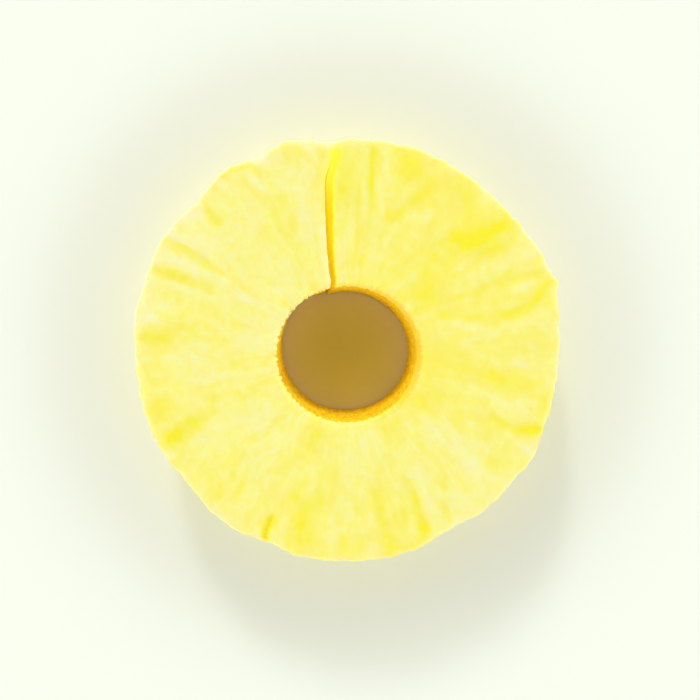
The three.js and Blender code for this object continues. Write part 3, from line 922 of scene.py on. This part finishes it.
deep = add_node(tree, "ShaderNodeMath", {0: 1.0, 1: stored["closed"]}, operation="SUBTRACT")
surface = add_node(tree, "ShaderNodeBsdfPrincipled", {
    "Base Color": colour,
    "Roughness": roughness,
    "IOR": 1.38,  # sugary water
    "Specular IOR Level": 0.4,
    "Subsurface Weight": deep,
    "Subsurface Radius": REACH_SHARES,
    "Subsurface Scale": LIGHT_REACH * MM,
    "Normal": bump,
})
add_node(tree, "ShaderNodeOutputMaterial", {"Surface": surface})
ring_mesh.materials.append(flesh)
print("the flesh's material has", len(tree.nodes), "nodes")

# %% [markdown]
# ## The floor and the light
# The floor is plain and pale, a wide sheet of matt card. The light is a soft tent all round: a band of
# bright panels at the height of a window, dimmer towards the horizon, and dim and warm overhead. Light
# that comes in low doesn't reach the bottom of the hole, so the walls of the flesh light it instead,
# and it turns golden. One broad lamp makes the side of the cut a little brighter than the far side.

# %% The floor
FLOOR_HALF = 2000.0  # mm
CARD_WHITE = "#F0F9F3"

floor_mesh = bpy.data.meshes.new("floor")
floor_corners = [(-1, -1, 0), (1, -1, 0), (1, 1, 0), (-1, 1, 0)]
floor_mesh.from_pydata((np.array(floor_corners) * FLOOR_HALF * MM).tolist(), [], [(0, 1, 2, 3)])
floor = bpy.data.objects.new("floor", floor_mesh)
bpy.context.scene.collection.objects.link(floor)

card = bpy.data.materials.new("pale_matt_card")
tree = empty_tree(card)
matt = {"Base Color": linear(CARD_WHITE), "Roughness": 0.85, "Specular IOR Level": 0.2}
surface = add_node(tree, "ShaderNodeBsdfPrincipled", matt)
add_node(tree, "ShaderNodeOutputMaterial", {"Surface": surface})
floor_mesh.materials.append(card)
print("the floor is", 2 * FLOOR_HALF * MM, "m wide")

# %% The tent of sky
HORIZON = 0.5  # how bright it is there
PANELS = 4.15
OVERHEAD = 0.22
PANELS_RISE = (10, 20)  # degrees up between which the tent brightens from horizon to panels
PANELS_FALL = (25, 36)  # and dims again to overhead
TENT_WHITE = "#FFFFFC"
WARM_CEILING = "#FFCB6A"
WARM_RISE = {"From Min": 0.6, "From Max": 0.75}  # sines of the rise between which it turns warm

tent = bpy.data.worlds.new("tent")
tree = empty_tree(tent)
direction = add_node(tree, "ShaderNodeTexCoord", {}, "Generated")
upward = add_node(tree, "ShaderNodeSeparateXYZ", {"Vector": direction}, "Z")
strength = HORIZON
for (low, high), above in [(PANELS_RISE, PANELS), (PANELS_FALL, OVERHEAD)]:
    step = {"Value": upward, "To Min": strength, "To Max": above}
    step["From Min"] = math.sin(math.radians(low))
    step["From Max"] = math.sin(math.radians(high))
    strength = add_node(tree, "ShaderNodeMapRange", step, interpolation_type="SMOOTHSTEP")
warm_above = {"Value": upward, **WARM_RISE}
ceiling = add_node(tree, "ShaderNodeMapRange", warm_above, interpolation_type="SMOOTHSTEP")
cloth = {"Factor": ceiling, COLOUR_A: linear(TENT_WHITE), COLOUR_B: linear(WARM_CEILING)}
tint = add_node(tree, "ShaderNodeMix", cloth, MIXED, data_type="RGBA")
sky = add_node(tree, "ShaderNodeBackground", {"Color": tint, "Strength": strength})
add_node(tree, "ShaderNodeOutputWorld", {"Surface": sky})
bpy.context.scene.world = tent
print("the tent's light:", HORIZON, "at the horizon,", PANELS, "at the panels,", OVERHEAD, "overhead")

# %% The broad lamp
KEY_COMPASS = math.radians(103)  # from +X towards +Y
KEY_RISE = math.radians(22)
KEY_SPREAD = math.radians(9)
KEY_STRENGTH = 1.0

key_light = bpy.data.lights.new("key", "SUN")
key_light.energy = KEY_STRENGTH
key_light.angle = KEY_SPREAD
key = bpy.data.objects.new("key", key_light)
level = math.cos(KEY_RISE)
towards = (math.cos(KEY_COMPASS) * level, math.sin(KEY_COMPASS) * level, math.sin(KEY_RISE))
key.rotation_euler = Vector(towards).to_track_quat("Z", "Y").to_euler()
bpy.context.scene.collection.objects.link(key)
print("the lamp shines from", np.round(towards, 2))

# %% Colours shown as they are
# A film-like view would grey a bright yellow. The standard view keeps it.
view = bpy.context.scene.view_settings
view.view_transform = "Standard"
view.look = "None"
view.exposure = 0.0
print("colours are shown in the", view.view_transform, "view")

# %% [markdown]
# ## Into the frame
# The flesh rides on the frame's one body and stands for its plain solid. The floor is only a stage.

# %% Finish
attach(ring, "root")
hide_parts("pineapple_ring")
floor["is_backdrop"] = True

boxes = {"cad": frame_box, "visual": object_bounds()}
boxes = {name: [list(corner) for corner in box] for name, box in boxes.items()}
print(boxes)
